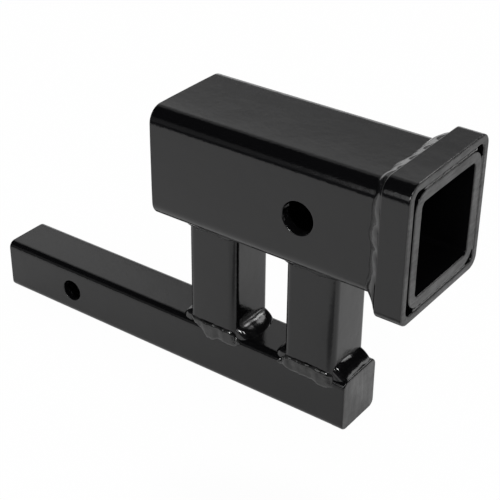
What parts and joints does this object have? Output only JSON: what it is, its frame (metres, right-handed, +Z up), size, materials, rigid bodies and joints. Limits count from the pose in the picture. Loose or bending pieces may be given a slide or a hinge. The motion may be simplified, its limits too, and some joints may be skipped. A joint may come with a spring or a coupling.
{
  "type": "hitch receiver extender",
  "caption": "Welded steel extender that raises and enlarges a trailer hitch receiver: a square shank carries a larger receiver tube on two posts.",
  "frame": {"origin": "centre of the shank's pin hole, on the middle plane of the part", "axes": "+X along the shank from its tail towards the mouth of the receiver, +Z up from the shank to the receiver, +Y towards the back along the pin holes"},
  "size_m": [0.2858, 0.0754, 0.1699],
  "materials": {
    "black_coat": "gloss black coat",
    "coated_weld": "weld bead under the same gloss black coat"
  },
  "bodies": {
    "root": {"shank_tube": "black_coat", "shank_end_plate": "black_coat", "receiver_tube": "black_coat", "mouth_collar": "black_coat", "rear_post": "black_coat", "front_post": "black_coat", "shank_end_plate_weld": "coated_weld", "rear_post_foot_weld_front": "coated_weld", "rear_post_foot_weld_back": "coated_weld", "rear_post_foot_weld_left": "coated_weld", "rear_post_foot_weld_right": "coated_weld", "rear_post_head_weld_front": "coated_weld", "rear_post_head_weld_back": "coated_weld", "rear_post_head_weld_left": "coated_weld", "rear_post_head_weld_right": "coated_weld", "front_post_foot_weld_front": "coated_weld", "front_post_foot_weld_back": "coated_weld", "front_post_foot_weld_left": "coated_weld", "front_post_foot_weld_right": "coated_weld", "front_post_head_weld_front": "coated_weld", "front_post_head_weld_back": "coated_weld", "front_post_head_weld_left": "coated_weld", "front_post_head_weld_right": "coated_weld", "collar_heel_weld_top": "coated_weld", "collar_heel_weld_bottom": "coated_weld", "collar_heel_weld_front": "coated_weld", "collar_heel_weld_back": "coated_weld", "collar_mouth_weld_top": "coated_weld", "collar_mouth_weld_bottom": "coated_weld", "collar_mouth_weld_back": "coated_weld"}
  },
  "joints": []
}
